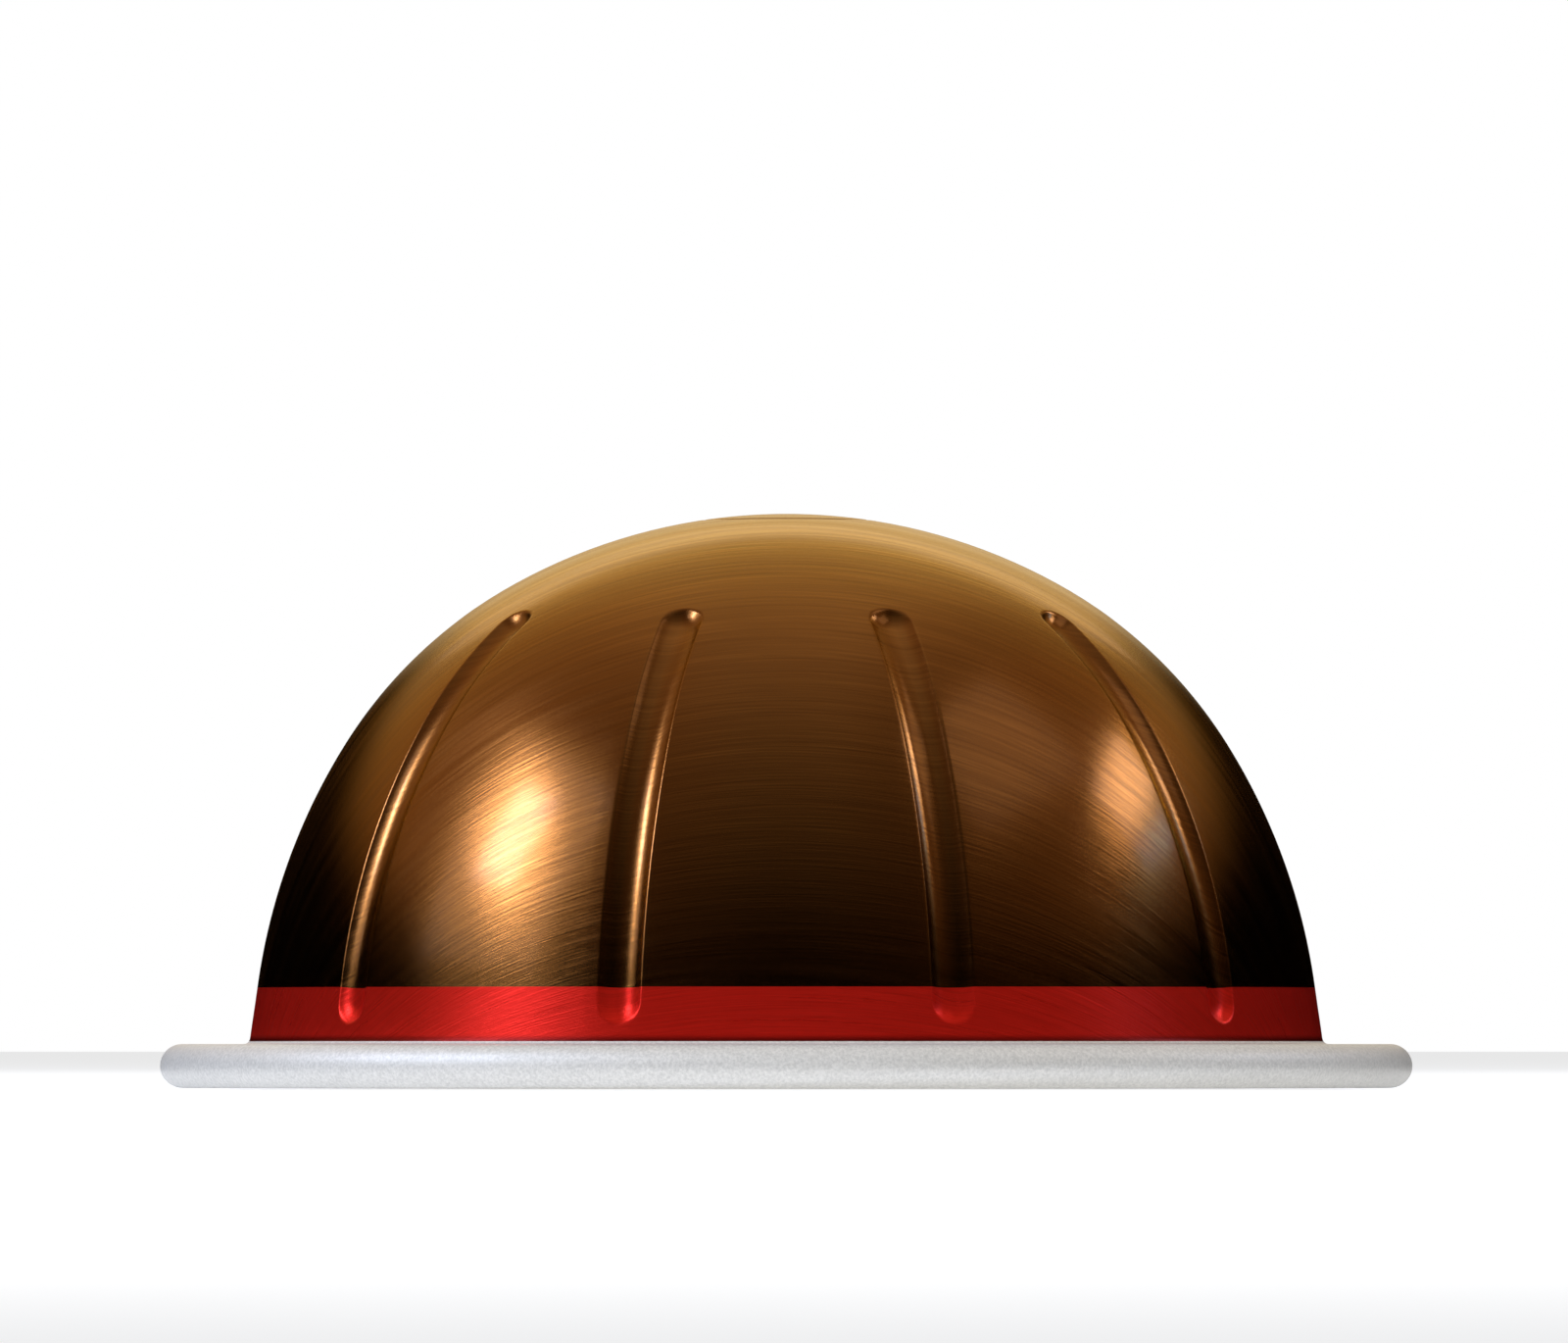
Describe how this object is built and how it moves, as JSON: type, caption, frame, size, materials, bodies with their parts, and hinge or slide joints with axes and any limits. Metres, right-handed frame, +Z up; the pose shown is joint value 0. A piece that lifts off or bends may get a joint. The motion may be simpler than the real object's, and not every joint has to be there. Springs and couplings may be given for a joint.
{
  "type": "coffee pod",
  "caption": "Sealed dome-shaped coffee pod: grooved metal cup with a flat flange and a rolled rim, closed below by a foil.",
  "frame": {"origin": "on the pod's axis, in the plane that the rolled rim stands on", "axes": "+Z up along the pod's axis from the foil side to the crown, +X to the right and -Y towards the viewer, midway between two grooves"},
  "size_m": [0.06, 0.06, 0.0275],
  "materials": {
    "lacquered_aluminium": "brushed, bronze lacquer"
  },
  "bodies": {
    "root": {"coffee_pod": "lacquered_aluminium"}
  },
  "joints": []
}
